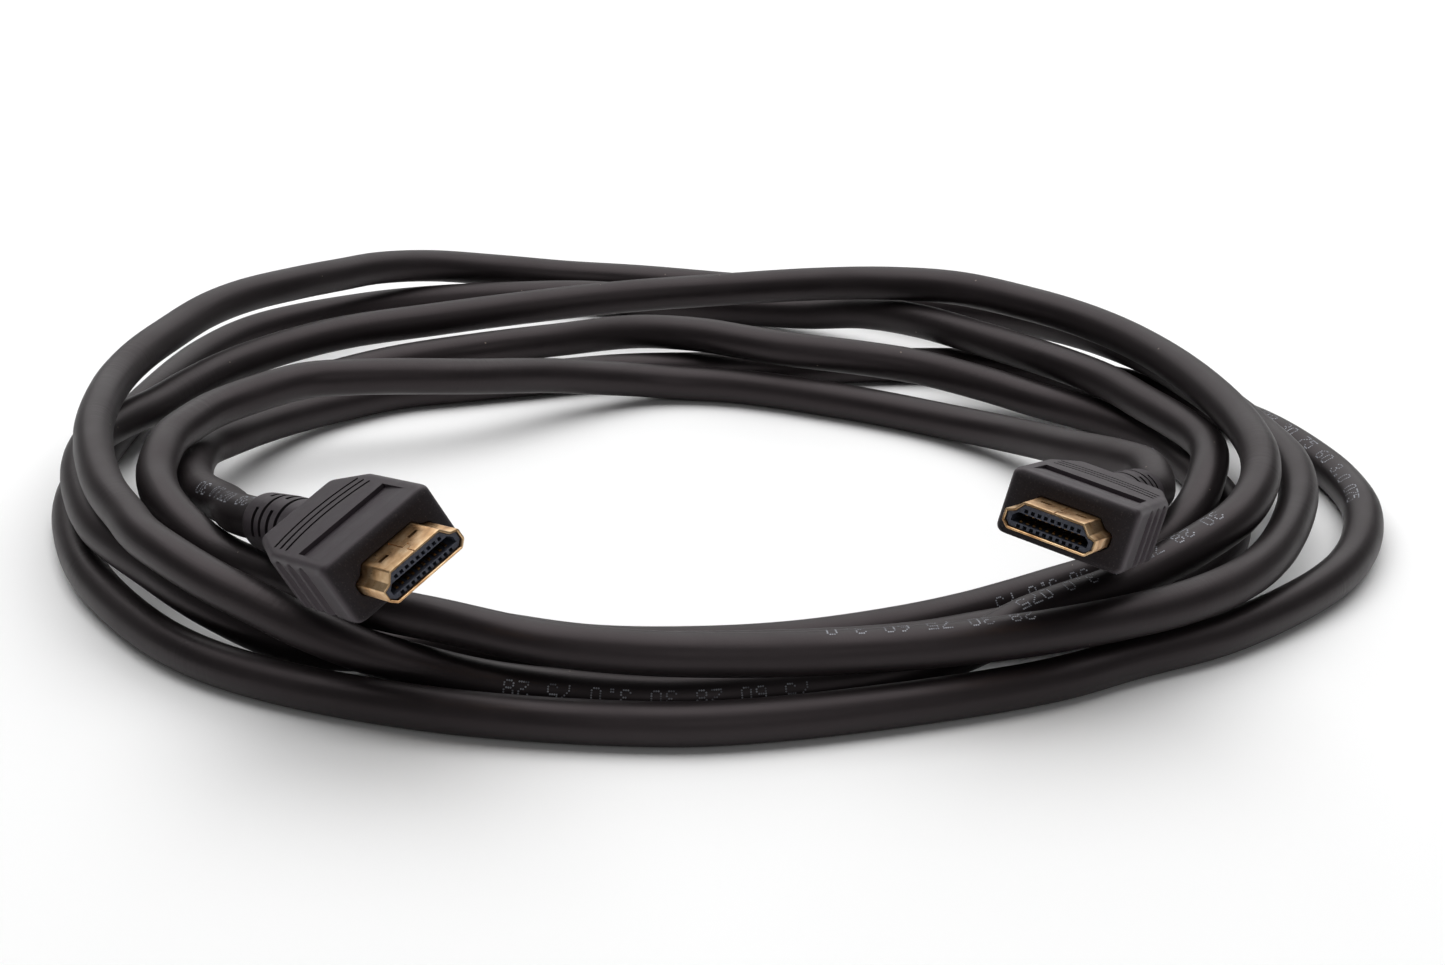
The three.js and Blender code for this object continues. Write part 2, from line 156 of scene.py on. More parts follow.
def mouldingMaterial():
    # Moulded PVC: satin grey-black top with fine spark-eroded grain; the front face is coarser and
    # painted darker as painted shade, with pale specks on its coarse grain
    mat, shader = newMaterial("moulded_pvc")
    here = node(mat, "ShaderNodeAttribute", {"attribute_name": "localMm"}).outputs["Vector"]
    front = node(mat, "ShaderNodeAttribute", {"attribute_name": "frontMask"}).outputs["Fac"]
    grain = node(mat, "ShaderNodeTexNoise", links={"Vector": here}, Scale=7.0, Detail=5.0, Roughness=0.65)
    coarse = node(mat, "ShaderNodeTexNoise", links={"Vector": here}, Scale=3.2, Detail=6.0, Roughness=0.7)
    haze = node(mat, "ShaderNodeTexNoise", links={"Vector": here}, Scale=0.35, Detail=4.0)
    hollowShade = node(mat, "ShaderNodeAttribute", {"attribute_name": "grooveShadeMask"}).outputs["Fac"]
    top = rampOf(mat, haze.outputs[0], [(0.3, linear("231e22")), (0.7, linear("2c262a"))])
    # painted shade: the front face's colour is made darker than the rest for the shade it faces into; the pale
    # stop gives specks on the coarse grain
    shadedFrontSpeckle = rampOf(mat, coarse.outputs[0], [(0.44, linear("0a090a")), (0.58, linear("121012")),
                                               (0.7, linear("3c3632"))])
    surface = mixOf(mat, front, top.outputs[0], shadedFrontSpeckle.outputs[0])
    # painted shade: faces in the grooves, the step line and the relief's slots are coloured near black for the
    # shade that falls in them
    shaded = mixOf(mat, hollowShade, surface, linear("050405"))
    mat.node_tree.links.new(shaded, shader.inputs["Base Color"])
    rough = rampOf(mat, haze.outputs[0], [(0.3, grey(0.42)), (0.7, grey(0.52))])
    matt = node(mat, "ShaderNodeMix", {"data_type": "FLOAT"}, {"Factor": front, "A": rough.outputs[0]}, B=0.8)
    mat.node_tree.links.new(matt.outputs[0], shader.inputs["Roughness"])
    shader.inputs["Specular IOR Level"].default_value = 0.45
    shader.inputs["Specular Tint"].default_value = (1.0, 0.88, 0.94, 1.0)
    fine = node(mat, "ShaderNodeBump", links={"Height": grain.outputs[0]}, Strength=0.16, Distance=0.00004)
    rise = node(mat, "ShaderNodeMath", {"operation": "MULTIPLY"}, {0: coarse.outputs[0], 1: front})
    rub = node(mat, "ShaderNodeBump", links={"Height": rise.outputs[0], "Normal": fine.outputs[0]},
               Strength=0.6, Distance=0.00012)
    mat.node_tree.links.new(rub.outputs[0], shader.inputs["Normal"])
    return mat


def goldMaterial(name, worn, usual, bright):
    # Thin gold plate over formed sheet: warm, drawn along the mating direction, browner in patches
    # where it has been rubbed
    mat, shader = newMaterial(name)
    here = node(mat, "ShaderNodeAttribute", {"attribute_name": "localMm"}).outputs["Vector"]
    streak = node(mat, "ShaderNodeMapping", links={"Vector": here}, Scale=(0.5, 6.0, 6.0))
    drawn = node(mat, "ShaderNodeTexNoise", links={"Vector": streak.outputs[0]}, Scale=1.6, Detail=6.0)
    patch = node(mat, "ShaderNodeTexNoise", links={"Vector": here}, Scale=0.42, Detail=4.0, Roughness=0.5)
    tint = rampOf(mat, patch.outputs[0], [(0.3, linear(worn)), (0.46, linear(usual)), (0.7, linear(bright))])
    mat.node_tree.links.new(tint.outputs[0], shader.inputs["Base Color"])
    shader.inputs["Metallic"].default_value = 1.0
    rough = rampOf(mat, drawn.outputs[0], [(0.3, grey(0.27)), (0.7, grey(0.40))])
    mat.node_tree.links.new(rough.outputs[0], shader.inputs["Roughness"])
    bump = node(mat, "ShaderNodeBump", links={"Height": drawn.outputs[0]}, Strength=0.10, Distance=0.00002)
    mat.node_tree.links.new(bump.outputs[0], shader.inputs["Normal"])
    return mat


def insulatorMaterial():
    # Glass-filled black polymer: cool black, slightly shiny, finely mottled
    mat, shader = newMaterial("glass_filled_polymer")
    here = node(mat, "ShaderNodeAttribute", {"attribute_name": "localMm"}).outputs["Vector"]
    mottle = node(mat, "ShaderNodeTexNoise", links={"Vector": here}, Scale=3.0, Detail=4.0)
    base = rampOf(mat, mottle.outputs[0], [(0.35, linear("363943")), (0.65, linear("464a57"))])
    mat.node_tree.links.new(base.outputs[0], shader.inputs["Base Color"])
    rough = rampOf(mat, mottle.outputs[0], [(0.35, grey(0.38)), (0.65, grey(0.5))])
    mat.node_tree.links.new(rough.outputs[0], shader.inputs["Roughness"])
    bump = node(mat, "ShaderNodeBump", links={"Height": mottle.outputs[0]}, Strength=0.15, Distance=0.00003)
    mat.node_tree.links.new(bump.outputs[0], shader.inputs["Normal"])
    return mat


def inkMaterial():
    # Pale grey dot-matrix ink, thin and a little patchy
    mat, shader = newMaterial("marking_ink")
    here = node(mat, "ShaderNodeTexCoord").outputs["Object"]
    thin = node(mat, "ShaderNodeTexNoise", links={"Vector": here}, Scale=900.0, Detail=2.0)
    base = rampOf(mat, thin.outputs[0], [(0.35, linear("64656c")), (0.65, linear("a9acb4"))])
    mat.node_tree.links.new(base.outputs[0], shader.inputs["Base Color"])
    shader.inputs["Roughness"].default_value = 0.6
    return mat


jacketLook = jacketMaterial()
mouldingLook = mouldingMaterial()
goldLook = goldMaterial("gold_plated_shell", "9a7450", "c49c70", "e2c49c")
contactLook = goldMaterial("gold_plated_contact", "7a5a38", "a9804f", "c9a06a")
insulatorLook = insulatorMaterial()
inkLook = inkMaterial()
print("stage: materials")

# Cable: sizes in metres, each swell a share of the radius, millimetres per radian and a start in radians
cableSizes = {"diameter": 0.0067, "drawnShare": 0.998, "sides": 28, "ringStep": 0.0018, "perSpan": 24,
              "exitGap": 0.0003, "straightExit": 0.012, "sink": 0.0015, "length": 3.12,
              "swells": ((0.004, 41.0, 0.0), (0.003, 13.7, 1.0))}
# The route, the same points as in the part, in metres
routeM = [
    (-0.0805, -0.039, 0.014), (-0.087, -0.0285, 0.0118), (-0.091, -0.016, 0.0095), (-0.092, -0.001, 0.0076),
    (-0.089, 0.006, 0.0068), (-0.0835, 0.017, 0.0052), (-0.0745, 0.028, 0.0039), (-0.0625, 0.0365, 0.0035),
    (-0.051, 0.04, 0.0034), (-0.0395, 0.043, 0.0034), (-0.02, 0.048, 0.0034), (0, 0.049, 0.0034),
    (0.016, 0.0495, 0.0034), (0.032, 0.051, 0.0034), (0.049, 0.051, 0.0034), (0.064, 0.0475, 0.0034),
    (0.079, 0.0395, 0.0034), (0.091, 0.03, 0.0034), (0.101, 0.018, 0.0034), (0.108, 0.001, 0.0034),
    (0.11, -0.009, 0.0034), (0.11, -0.019, 0.0034), (0.106, -0.033, 0.0034), (0.098, -0.046, 0.0034),
    (0.079, -0.063, 0.0034), (0.062, -0.072, 0.0034), (0.05, -0.0785, 0.0034), (0.031, -0.085, 0.0034),
    (0.005, -0.091, 0.0034), (-0.01, -0.092, 0.0034), (-0.041, -0.088, 0.0034), (-0.069, -0.078, 0.0034),
    (-0.085, -0.067, 0.0034), (-0.102, -0.045, 0.0034), (-0.11, -0.026, 0.0034), (-0.113, -0.012, 0.0034),
    (-0.113, 0.003, 0.0034), (-0.112, 0.019, 0.0034), (-0.11, 0.033, 0.0034), (-0.104, 0.057, 0.0034),
    (-0.095, 0.072, 0.0034), (-0.076, 0.084, 0.0034), (-0.06, 0.089, 0.0034), (-0.043, 0.091, 0.0035),
    (-0.028, 0.091, 0.0036), (-0.004, 0.0855, 0.0034), (0.017, 0.078, 0.0046), (0.029, 0.07, 0.0076),
    (0.04, 0.058, 0.01), (0.049, 0.048, 0.0107), (0.064, 0.033, 0.0108), (0.072, 0.023, 0.0108),
    (0.077, 0.013, 0.0108), (0.081, 0.005, 0.0108), (0.084, -0.002, 0.0107), (0.085, -0.008, 0.0106),
    (0.083, -0.018, 0.01), (0.079, -0.027, 0.0076), (0.071, -0.036, 0.0048), (0.062, -0.0425, 0.0036),
    (0.053, -0.048, 0.0034), (0.045, -0.053, 0.0034), (0.038, -0.057, 0.0034), (0.028, -0.0615, 0.0034),
    (0.012, -0.0665, 0.0034), (-0.003, -0.0685, 0.0034), (-0.02, -0.068, 0.0034), (-0.034, -0.064, 0.0034),
    (-0.046, -0.0595, 0.0034), (-0.059, -0.053, 0.0034), (-0.073, -0.0445, 0.0034),
    (-0.084, -0.034, 0.0034), (-0.093, -0.02, 0.0034), (-0.098, -0.006, 0.0034), (-0.0975, 0.009, 0.0034),
    (-0.092, 0.025, 0.0034), (-0.082, 0.039, 0.0034), (-0.067, 0.051, 0.0036), (-0.05, 0.0585, 0.0038),
    (-0.033, 0.0595, 0.0056), (-0.017, 0.0545, 0.0092), (-0.004, 0.0485, 0.0107), (0.004, 0.0445, 0.0108),
    (0.012, 0.041, 0.0107), (0.027, 0.0385, 0.0097), (0.038, 0.0375, 0.0082), (0.05, 0.034, 0.0062),
    (0.06, 0.029, 0.0048), (0.072, 0.022, 0.0037), (0.08, 0.0125, 0.0034), (0.084, 0, 0.0034),
    (0.0865, -0.01, 0.0034), (0.087, -0.02, 0.0034), (0.085, -0.03, 0.0034), (0.08, -0.04, 0.0034),
    (0.073, -0.048, 0.0034), (0.063, -0.054, 0.0034), (0.054, -0.058, 0.0034), (0.047, -0.061, 0.0035),
    (0.039, -0.0645, 0.0038), (0.031, -0.0685, 0.0044), (0.021, -0.072, 0.0052), (0.01, -0.075, 0.0062),
    (0, -0.077, 0.007), (-0.011, -0.0775, 0.0072), (-0.026, -0.0755, 0.0062), (-0.042, -0.0715, 0.0046),
    (-0.055, -0.0705, 0.004), (-0.066, -0.0695, 0.005), (-0.079, -0.0635, 0.008), (-0.09, -0.054, 0.01),
    (-0.101, -0.041, 0.0105), (-0.108, -0.025, 0.0105), (-0.111, -0.012, 0.0105), (-0.111, -0.002, 0.0105),
    (-0.109, 0.006, 0.0098), (-0.105, 0.016, 0.0088), (-0.101, 0.027, 0.0083), (-0.095, 0.038, 0.0082),
    (-0.086, 0.0485, 0.0082), (-0.075, 0.057, 0.0082), (-0.059, 0.064, 0.0082), (-0.042, 0.0705, 0.0083),
    (-0.021, 0.075, 0.0092), (0, 0.075, 0.0108), (0.019, 0.071, 0.0134), (0.034, 0.064, 0.016),
    (0.047, 0.057, 0.0174), (0.06, 0.049, 0.017), (0.068, 0.042, 0.0168), (0.075, 0.033, 0.0167),
    (0.0805, 0.023, 0.0166), (0.085, 0.011, 0.0166), (0.0885, -0.003, 0.0166), (0.09, -0.014, 0.0166),
    (0.09, -0.025, 0.0165), (0.0875, -0.036, 0.0159), (0.0825, -0.045, 0.0146), (0.075, -0.0515, 0.0127),
    (0.067, -0.0565, 0.0108), (0.06, -0.0605, 0.0094), (0.053, -0.064, 0.0087), (0.046, -0.068, 0.008),
    (0.039, -0.0725, 0.0064), (0.031, -0.076, 0.0047), (0.022, -0.079, 0.0037), (0.012, -0.0815, 0.0036),
    (-0.008, -0.084, 0.0034), (-0.024, -0.083, 0.0039), (-0.034, -0.082, 0.0046), (-0.044, -0.08, 0.006),
    (-0.054, -0.079, 0.0088), (-0.062, -0.0775, 0.0116), (-0.07, -0.074, 0.014), (-0.077, -0.07, 0.0156),
    (-0.084, -0.0645, 0.017), (-0.09, -0.058, 0.0176), (-0.094, -0.051, 0.0177), (-0.099, -0.042, 0.0177),
    (-0.103, -0.032, 0.0177), (-0.106, -0.022, 0.0177), (-0.108, -0.012, 0.0177), (-0.109, 0.005, 0.0177),
    (-0.1075, 0.019, 0.0176), (-0.1045, 0.031, 0.0174), (-0.1, 0.045, 0.0171), (-0.0945, 0.055, 0.0166),
    (-0.086, 0.066, 0.0154), (-0.079, 0.075, 0.014), (-0.072, 0.0835, 0.0126), (-0.062, 0.0925, 0.01),
    (-0.049, 0.0985, 0.007), (-0.034, 0.1015, 0.0046), (-0.018, 0.1015, 0.0036), (0, 0.0975, 0.0034),
    (0.021, 0.091, 0.0038), (0.039, 0.082, 0.0052), (0.056, 0.07, 0.0072), (0.07, 0.055, 0.0093),
    (0.081, 0.038, 0.0105), (0.088, 0.023, 0.0105), (0.093, 0.008, 0.0105), (0.096, -0.003, 0.0105),
    (0.098, -0.013, 0.0105), (0.097, -0.025, 0.0105), (0.0935, -0.037, 0.0105), (0.087, -0.051, 0.0105),
    (0.08, -0.06, 0.0105), (0.071, -0.067, 0.0105), (0.06, -0.0725, 0.0105), (0.047, -0.0775, 0.0106),
    (0.032, -0.0815, 0.0107), (0.018, -0.084, 0.0109), (0.003, -0.0855, 0.0112), (-0.011, -0.086, 0.0118),
    (-0.026, -0.084, 0.0124), (-0.042, -0.078, 0.013), (-0.055, -0.0715, 0.0126), (-0.0705, -0.06, 0.012),
    (-0.0785, -0.052, 0.011), (-0.085, -0.046, 0.0124), (-0.091, -0.038, 0.0144), (-0.094, -0.0295, 0.0152),
    (-0.0945, -0.024, 0.0159), (-0.0945, -0.016, 0.0159), (-0.0925, -0.009, 0.0158),
    (-0.09, -0.003, 0.0157), (-0.0845, 0.004, 0.0157), (-0.076, 0.012, 0.0155), (-0.068, 0.0145, 0.0152),
    (-0.0595, 0.017, 0.0144), (-0.0525, 0.0195, 0.0134), (-0.0455, 0.023, 0.012), (-0.038, 0.028, 0.0102),
    (-0.031, 0.033, 0.0082), (-0.0235, 0.037, 0.0062), (-0.016, 0.04, 0.0046), (-0.0085, 0.041, 0.0036),
    (0.0015, 0.04, 0.0034), (0.011, 0.037, 0.0034), (0.0205, 0.033, 0.0034), (0.03, 0.0285, 0.0034),
    (0.04, 0.0225, 0.0036), (0.0505, 0.0135, 0.0048), (0.057, 0.005, 0.0066), (0.0615, -0.0025, 0.0084),
    (0.066, -0.0095, 0.0102), (0.069, -0.015, 0.0116), (0.072, -0.0215, 0.0128),
]
# Millimetres and degrees: the middle of the front face's lower edge, and the plug's turn there
plugPoses = {
    "a": {"at": (-43.0, -94.2, 27.3), "yaw": -55.2, "pitch": -14.7, "roll": 25.0},
    "b": {"at": (48.0, -81.6, 25.7), "yaw": -114.4, "pitch": -17.7, "roll": -10.0},
}
# Plug body in millimetres; radii are those of the outline's corners, from the front edge on
body = {"width": 20.0, "height": 10.0, "straight": 18.6, "length": 27.5, "shoulder": 14.2, "edge": 1.15,
        "radii": (2.2, 2.2, 2.6, 2.0, 2.0, 2.6), "voxel": 0.19, "smoothing": 0.5, "passes": 3}
relief = {"length": 16.5, "radius": 4.9, "endRadius": 4.55, "inside": 6.5, "lead": 1.5, "straight": 8.0,
          "rounding": 0.5, "sides": 72, "boreRadius": 3.42, "boreDepth": 2.2, "boreSides": 48}
tail = body["length"] + relief["length"]


def plugMatrix(pose):
    # yaw about Z times pitch about Y times roll about X, then the place: millimetres in, metres out
    turn = Matrix.Identity(4)
    for kind, axis in (("yaw", "Z"), ("pitch", "Y"), ("roll", "X")):
        turn = turn @ Matrix.Rotation(math.radians(pose[kind]), 4, axis)
    place = Matrix.Translation(Vector(np.array(pose["at"]) + frameShift) * 0.001)
    return place @ turn @ Matrix.Diagonal((0.001, 0.001, 0.001, 1))


def behindPlug(pose, distance):
    return np.array(plugMatrix(pose) @ Vector((-tail - distance * 1000, 0, body["height"] / 2)))


def centripetal(points, perSpan):
    # a cubic in t for each span, its knots spaced by the square root of the distance, both ends extended
    p = np.vstack([2 * points[0] - points[1], points, 2 * points[-1] - points[-2]])
    out = []
    t = np.linspace(0, 1, perSpan, endpoint=False)[:, None]
    for x0, x1, x2, x3 in zip(p[:-3], p[1:-2], p[2:-1], p[3:]):
        d0, d1, d2 = (np.linalg.norm(b - a) ** 0.5 for a, b in ((x0, x1), (x1, x2), (x2, x3)))
        t1 = ((x1 - x0) / d0 - (x2 - x0) / (d0 + d1) + (x2 - x1) / d1) * d1
        t2 = ((x2 - x1) / d1 - (x3 - x1) / (d1 + d2) + (x3 - x2) / d2) * d1
        square = -3 * x1 + 3 * x2 - 2 * t1 - t2
        cube = 2 * x1 - 2 * x2 + t1 + t2
        out.append(x1 + t1 * t + square * t ** 2 + cube * t ** 3)
    return np.vstack(out + [p[-2][None]])


def evenSteps(line, step):
    along = np.concatenate([[0], np.cumsum(np.linalg.norm(np.diff(line, axis=0), axis=1))])
    marks = np.linspace(0, along[-1], int(round(along[-1] / step)) + 1)
    return np.stack([np.interp(marks, along, line[:, i]) for i in range(3)], 1), marks


routePoints = np.vstack([
    behindPlug(plugPoses["a"], cableSizes["exitGap"]),
    behindPlug(plugPoses["a"], cableSizes["exitGap"] + cableSizes["straightExit"]),
    np.array(routeM) + frameShift / 1000,
    behindPlug(plugPoses["b"], cableSizes["exitGap"] + cableSizes["straightExit"]),
    behindPlug(plugPoses["b"], cableSizes["exitGap"]),
])
fine = centripetal(routePoints, cableSizes["perSpan"])
headDir = fine[0] - fine[1]
tailDir = fine[-1] - fine[-2]
fine = np.vstack([fine[0] + headDir / np.linalg.norm(headDir) * cableSizes["sink"], fine,
                  fine[-1] + tailDir / np.linalg.norm(tailDir) * cableSizes["sink"]])
centre, arc = evenSteps(fine, cableSizes["ringStep"])
tangent = np.gradient(centre, axis=0)
tangent /= np.linalg.norm(tangent, axis=1)[:, None]
side = np.cross(tangent, [0.0, 0.0, 1.0])
side /= np.linalg.norm(side, axis=1)[:, None]
upward = np.cross(side, tangent)


def meshObject(name, verts, faces, look, smooth=True):
    mesh = bpy.data.meshes.new(name)
    mesh.from_pydata([tuple(v) for v in verts], [], [tuple(f) for f in faces])
    mesh.materials.append(look)
    mesh.polygons.foreach_set("use_smooth", np.full(len(mesh.polygons), smooth))
    obj = bpy.data.objects.new(name, mesh)
    scene.collection.objects.link(obj)
    return obj


def tubeFaces(rings, sides):
    # quads between neighbouring rings, and one polygon over each end
    i, j = np.meshgrid(np.arange(rings - 1), np.arange(sides), indexing="ij")
    k = (j + 1) % sides
    low = i * sides
    high = low + sides
    quads = np.stack([low + j, low + k, high + k, high + j], -1).reshape(-1, 4)
    return [tuple(q) for q in quads.tolist()] + [tuple(range(sides))[::-1],
                                                 tuple(range((rings - 1) * sides, rings * sides))]


# Ring point = centre + r (sin a side + cos a upward); r swells by a few hundredths of a millimetre
turnAngle = np.arange(cableSizes["sides"]) / cableSizes["sides"] * 2 * np.pi
swell = 1 + sum(share * np.sin(arc * 1000 / wave + start) for share, wave, start in cableSizes["swells"])
radius = cableSizes["diameter"] / 2 * cableSizes["drawnShare"]
radiusMm = cableSizes["diameter"] / 2 * 1000
ring = np.sin(turnAngle)[None, :, None] * side[:, None] + np.cos(turnAngle)[None, :, None] * upward[:, None]
tube = centre[:, None] + ring * (radius * swell)[:, None, None]
cable = meshObject("cable_jacket", tube.reshape(-1, 3), tubeFaces(len(centre), cableSizes["sides"]),
                   jacketLook)
wrap = np.zeros((len(centre), cableSizes["sides"], 3), np.float32)
wrap[..., 0] = arc[:, None] * 1000
wrap[..., 1] = np.cos(turnAngle)[None] * radiusMm
wrap[..., 2] = np.sin(turnAngle)[None] * radiusMm
attr = cable.data.attributes.new("wrapMm", "FLOAT_VECTOR", "POINT")
attr.data.foreach_set("vector", wrap.reshape(-1))
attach(cable, "root")
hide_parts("cable")
print("stage: cable", round(float(arc[-1]), 3), "m")

# Printed marking: plain figures in dot matrix, at the places where it can be seen
# All ten figures, seven rows of five dots each, so that the text can be changed
digits = {
    "0": "01110 10001 10001 10001 10001 10001 01110", "1": "00100 01100 00100 00100 00100 00100 01110",
    "2": "01110 10001 00001 00110 01000 10000 11111", "3": "01110 10001 00001 00110 00001 10001 01110",
    "4": "00010 00110 01010 10010 11111 00010 00010", "5": "11111 10000 11110 00001 00001 10001 01110",
    "6": "00110 01000 10000 11110 10001 10001 01110", "7": "11111 00001 00010 00100 01000 01000 01000",
    "8": "01110 10001 10001 01110 10001 10001 01110", "9": "01110 10001 10001 01111 00001 00010 01100",
    ".": "00000 00000 00000 00000 00000 01100 01100", " ": "00000 00000 00000 00000 00000 00000 00000",
}
# Start along the cable in mm, angle from the top in degrees, turn in degrees per mm, text
markings = [
    (5, -16, -0.9, "28 075 3.0 30"),
    (292, 13, 0.55, "28 30 75 60 3.0 075"),
    (980, -44, -0.5, "60 28 30 3.0 75"),
    (2036, 0, -0.2, "30 28 75 60 3.0 075"),
    (2112, -66, 0.03, "75 60 28 30 3.0 75 28"),
    (2706, 0, 0.3, "28 30 75 60 3.0"),
    (3076, -44, 0.0, "75 28 3.0 60"),
]
# Millimetres: dot radius, dot spacing across and down, step from figure to figure, height over the jacket
inkSizes = {"dot": 0.15, "across": 0.33, "down": 0.36, "advance": 2.15, "lift": 0.015}


def markingMesh():
    # a dot at (s, v) is a hexagon: centre(s) + r (sin v side + cos v upward), v growing down the letters
    dots = np.array([(start + place * inkSizes["advance"] + column * inkSizes["across"],
                      angle, twist, start, row - 3)
                     for start, angle, twist, text in markings for place, letter in enumerate(text)
                     for row, bits in enumerate(digits[letter].split()) for column, bit in enumerate(bits)
                     if bit == "1"], float)
    hexagon = -np.arange(6) / 6 * 2 * np.pi
    along = dots[:, :1] + np.cos(hexagon) * inkSizes["dot"]
    v = (np.radians(dots[:, 1:2] + dots[:, 2:3] * (along - dots[:, 3:4]))
         + (dots[:, 4:] * inkSizes["down"] + np.sin(hexagon) * inkSizes["dot"]) / radiusMm)
    at = along / 1000
    c, a, b = (np.stack([np.interp(at, arc, path[:, i]) for i in range(3)], -1)
               for path in (centre, side, upward))
    r = radius * np.interp(at, arc, swell) + inkSizes["lift"] / 1000
    p = c + (np.sin(v)[..., None] * a + np.cos(v)[..., None] * b) * r[..., None]
    return p.reshape(-1, 3), np.arange(p.shape[0] * 6).reshape(-1, 6).tolist()


marking = meshObject("cable_marking", *markingMesh(), inkLook, False)
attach(marking, "root")
print("stage: marking", len(marking.data.polygons), "dots")


# Plugs, built once in the plug's own millimetres and placed twice
def cleanMesh(name, verts, faces):
    mesh = bpy.data.meshes.new(name)
    mesh.from_pydata([tuple(v) for v in verts], [], [tuple(f) for f in faces])
    mesh.validate()
    return mesh


def cornerRound(points, radii, steps):
    # each corner becomes a quadratic curve that leaves its sides at radius / tan(half the angle)
    out = []
    n = len(points)
    for i, p in enumerate(points):
        p = np.array(p, float)
        a = np.array(points[i - 1], float) - p
        b = np.array(points[(i + 1) % n], float) - p
        la, lb = np.linalg.norm(a), np.linalg.norm(b)
        half = math.acos(np.clip(a @ b / la / lb, -1, 1)) / 2
        reach = min(radii[i] / math.tan(half), la * 0.49, lb * 0.49)
        q0, q2 = p + a / la * reach, p + b / lb * reach
        for t in np.linspace(0, 1, steps):
            out.append((1 - t) ** 2 * q0 + 2 * t * (1 - t) * p + t * t * q2)
    return np.array(out)


def insetOutline(points, by):
    # each point of a closed anticlockwise outline moves inward along the mean normal of its two sides
    ahead = np.roll(points, -1, 0) - points
    behind = points - np.roll(points, 1, 0)
    ahead /= np.linalg.norm(ahead, axis=1)[:, None] + 1e-12
    behind /= np.linalg.norm(behind, axis=1)[:, None] + 1e-12
    normal = np.stack([-(ahead[:, 1] + behind[:, 1]), ahead[:, 0] + behind[:, 0]], 1)
    normal /= np.linalg.norm(normal, axis=1)[:, None] + 1e-12
    return points + normal * by


def loft(rings):
    return np.concatenate(rings), tubeFaces(len(rings), len(rings[0]))


def fixWinding(mesh):
    bm = bmesh.new()
    bm.from_mesh(mesh)
    bmesh.ops.remove_doubles(bm, verts=bm.verts, dist=1e-6)
    bmesh.ops.recalc_face_normals(bm, faces=bm.faces)
    bm.to_mesh(mesh)
    bm.free()
    return mesh


def tempObject(name, verts, faces):
    obj = bpy.data.objects.new(name, fixWinding(cleanMesh(name, verts, faces)))
    scene.collection.objects.link(obj)
    return obj


def boxParts(boxes):
    verts = []
    faces = []
    for x0, x1, y0, y1, z0, z1 in boxes:
        n = len(verts)
        verts += [(x, y, z) for x in (x0, x1) for y in (y0, y1) for z in (z0, z1)]
        faces += [tuple(n + k for k in f) for f in ((0, 1, 3, 2), (4, 6, 7, 5), (0, 4, 5, 1), (2, 3, 7, 6),
                                                    (0, 2, 6, 4), (1, 5, 7, 3))]
    return verts, faces


def prismParts(polygons):
    # each entry is the points of one end and the vector to the other end
    verts = []
    faces = []
    for points, shift in polygons:
        n, m = len(verts), len(points)
        verts += [tuple(p) for p in points] + [tuple(np.array(p) + shift) for p in points]
        faces += [tuple(range(n, n + m))[::-1], tuple(range(n + m, n + 2 * m))]
        faces += [(n + i, n + (i + 1) % m, n + m + (i + 1) % m, n + m + i) for i in range(m)]
    return verts, faces


def combine(obj, other, how):
    mod = obj.modifiers.new("cut", "BOOLEAN")
    mod.operation = how
    mod.solver = "EXACT"
    mod.object = other
    applyAll(obj)
    bpy.data.objects.remove(other)


def applyAll(obj):
    dg = bpy.context.evaluated_depsgraph_get()
    made = bpy.data.meshes.new_from_object(obj.evaluated_get(dg))
    obj.modifiers.clear()
    obj.data = made


def cutAll(obj, cutters):
    for verts, faces in cutters:
        combine(obj, tempObject("cutter", verts, faces), "DIFFERENCE")


def takeMesh(obj):
    mesh = obj.data
    bpy.data.objects.remove(obj)
    return mesh


def lathe(profile, steps, axisZ):
    # (x, r) pairs turned about the line y = 0, z = axisZ
    turn = np.arange(steps) / steps * 2 * np.pi
    return loft([np.stack([np.full(steps, x), np.cos(turn) * r, axisZ + np.sin(turn) * r], 1)
                 for x, r in profile])


# Shell in millimetres: its outline across the mating direction, anticlockwise, and its corner radii
shellOutline = [(-5.95, 0), (5.95, 0), (6.95, 1.0), (6.95, 2.7), (5.7, 3.1), (4.6, 4.45), (-4.6, 4.45),
                (-5.7, 3.1), (-6.95, 2.7), (-6.95, 1.0)]
shellRadii = np.array([0.7, 0.7, 0.5, 0.4, 0.5, 0.5, 0.5, 0.5, 0.4, 0.5])
shellSizes = {"rise": 2.6, "reach": 8.5, "depth": 9.0, "wall": 0.35, "leastRadius": 0.1, "cornerSteps": 5,
              "lip": 0.12, "lipMiddle": 0.035, "innerLip": 0.1, "pocketGap": 0.12, "pocketDepth": 9.6}
shellTop = shellSizes["rise"] + max(z for y, z in shellOutline)
# The two latch holes: distance from the middle, from the tip, and half their length and width
latch = {"aside": 2.7, "back": 5.0, "halfLength": 0.4, "halfWidth": 0.8, "cut": 1.0, "insulatorCut": 1.6}
# Seam of the folded sheet, straight and then a dovetail; twice its real width, or it would not show
seam = {"line": ((9.0, 0), (6.4, 0), (6.4, 0.55), (4.9, 0.95), (4.9, 0), (0.5, 0)), "half": 0.085,
        "overlap": 0.9, "depth": 0.16}


def mitreOffset(points, by):
    # each corner of a closed anticlockwise outline moves inward to where its two moved sides cross
    p = np.array(points, float)
    ahead = np.roll(p, -1, 0) - p
    ahead /= np.linalg.norm(ahead, axis=1)[:, None]
    behind = np.roll(ahead, 1, 0)
    n1 = np.stack([-behind[:, 1], behind[:, 0]], 1)
    n2 = np.stack([-ahead[:, 1], ahead[:, 0]], 1)
    convex = behind[:, 0] * ahead[:, 1] - behind[:, 1] * ahead[:, 0] > 0
    return p + by * (n1 + n2) / (1 + (n1 * n2).sum(1))[:, None], convex


